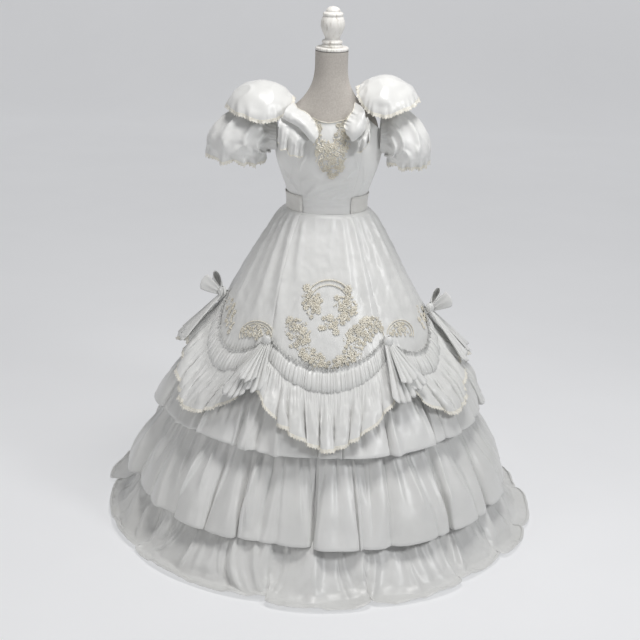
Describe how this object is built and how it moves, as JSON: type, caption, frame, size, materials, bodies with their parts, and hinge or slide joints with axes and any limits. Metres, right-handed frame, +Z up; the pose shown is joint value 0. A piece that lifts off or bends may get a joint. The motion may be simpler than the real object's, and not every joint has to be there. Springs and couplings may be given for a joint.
{
  "type": "wedding dress on a dress form",
  "caption": "Full-length tiered satin wedding dress with puffed sleeves, swagged overskirt, bows and lace, worn by a limbless dress form on a pole and round base.",
  "frame": {"origin": "on the floor under the middle of the form's base", "axes": "+Z up, the front of the dress faces -Y, +X is the viewer's right"},
  "size_m": [1.3936, 1.5051, 1.6156],
  "materials": {
    "satin": "white dress satin, semi-gloss",
    "lace": "ivory corded lace, matt",
    "form_linen": "grey-beige linen, matt",
    "form_wood": "white-washed turned wood",
    "steel": "satin"
  },
  "bodies": {
    "root": {"underskirt": "satin", "tier_upper": "satin", "tier_middle": "satin", "tier_floor": "satin", "overskirt_front": "satin", "swag_band_front": "satin", "swag_flounce_front": "satin", "overskirt_right": "satin", "swag_band_right": "satin", "swag_flounce_right": "satin", "overskirt_back_right": "satin", "swag_band_back_right": "satin", "swag_flounce_back_right": "satin", "overskirt_back_left": "satin", "swag_band_back_left": "satin", "swag_flounce_back_left": "satin", "overskirt_left": "satin", "swag_band_left": "satin", "swag_flounce_left": "satin", "bow_front_left": "satin", "bow_front_right": "satin", "bow_side_right": "satin", "bow_back": "satin", "bow_side_left": "satin", "bodice_front_centre": "satin", "bodice_front_right": "satin", "bodice_front_left": "satin", "bodice_back_right": "satin", "bodice_back_left": "satin", "belt_right": "satin", "belt_left": "satin", "sleeve_left": "satin", "sleeve_right": "satin", "shoulder_flounce_left": "satin", "shoulder_flounce_right": "satin", "neck_ruffle_left": "satin", "neck_ruffle_right": "satin", "swag_edging_front": "lace", "swag_edging_right": "lace", "swag_edging_back_right": "lace", "swag_edging_back_left": "lace", "swag_edging_left": "lace", "sleeve_edging_left": "lace", "sleeve_edging_right": "lace", "shoulder_edging_left": "lace", "shoulder_edging_right": "lace", "skirt_lace_crown": "lace", "skirt_lace_garland": "lace", "skirt_lace_left": "lace", "skirt_lace_right": "lace", "bodice_lace": "lace", "form_torso": "form_linen", "form_neck_cap": "form_wood", "form_knob": "form_wood", "form_pole": "steel", "form_base": "steel"}
  },
  "joints": []
}
